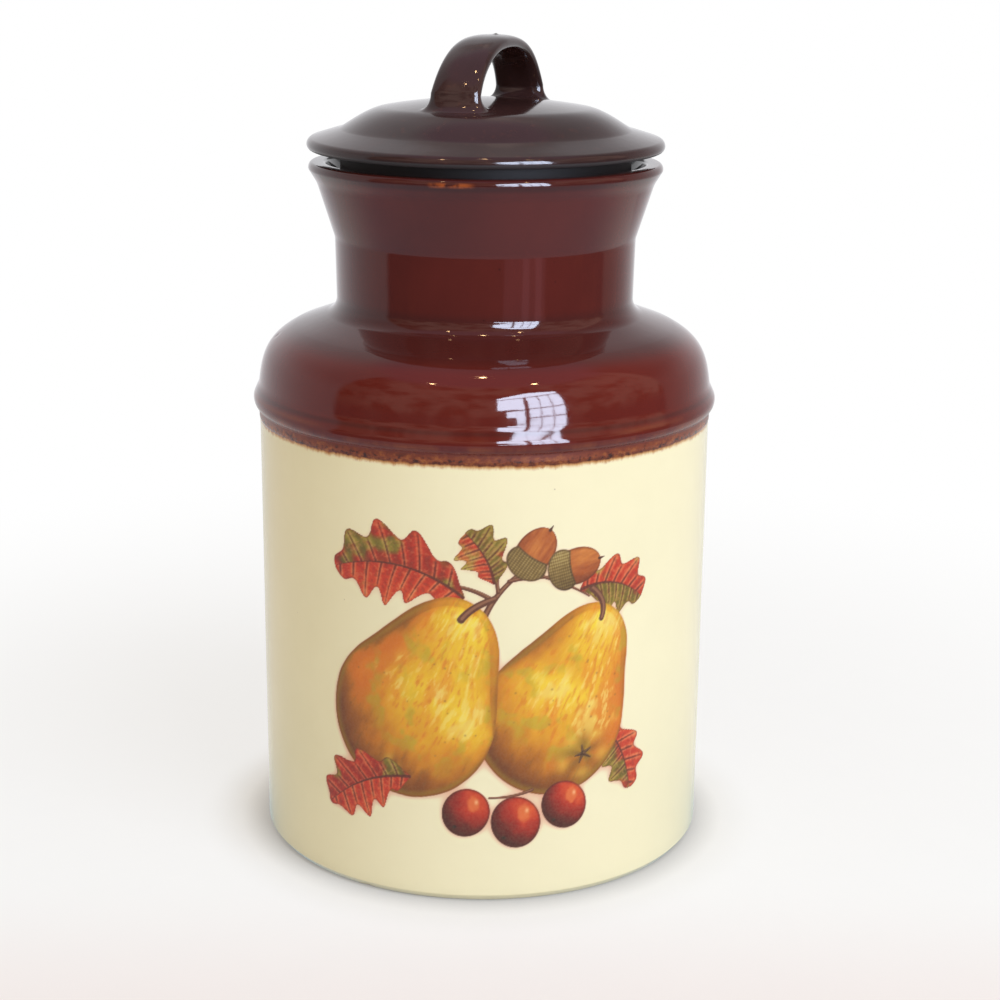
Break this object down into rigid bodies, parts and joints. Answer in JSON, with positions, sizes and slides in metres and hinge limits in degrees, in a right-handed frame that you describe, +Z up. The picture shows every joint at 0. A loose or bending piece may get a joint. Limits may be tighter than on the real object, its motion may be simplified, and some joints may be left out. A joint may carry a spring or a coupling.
{
  "type": "ceramic canister",
  "caption": "Ceramic canister with a straight cream body, dark glazed shoulder and flared neck, a printed fruit design, and a loose domed lid with a strap handle.",
  "frame": {"origin": "centre of the base, on the surface that the canister stands on", "axes": "+Z up along the jar's axis, -Y towards the front with the printed design, +X to the viewer's right"},
  "size_m": [0.1362, 0.1362, 0.2355],
  "materials": {
    "cream_glaze": "glossy",
    "brown_glaze": "glossy",
    "lid_glaze": "glossy",
    "bare_clay": "matte",
    "print": "glossy"
  },
  "bodies": {
    "jar": {"jar": "cream_glaze"},
    "lid": {"lid": "lid_glaze"}
  },
  "joints": [
    {"name": "lid_lift", "type": "slide", "parent": "jar", "child": "lid", "axis": [0, 0, 1], "range_m": [0, 0.04]}
  ]
}
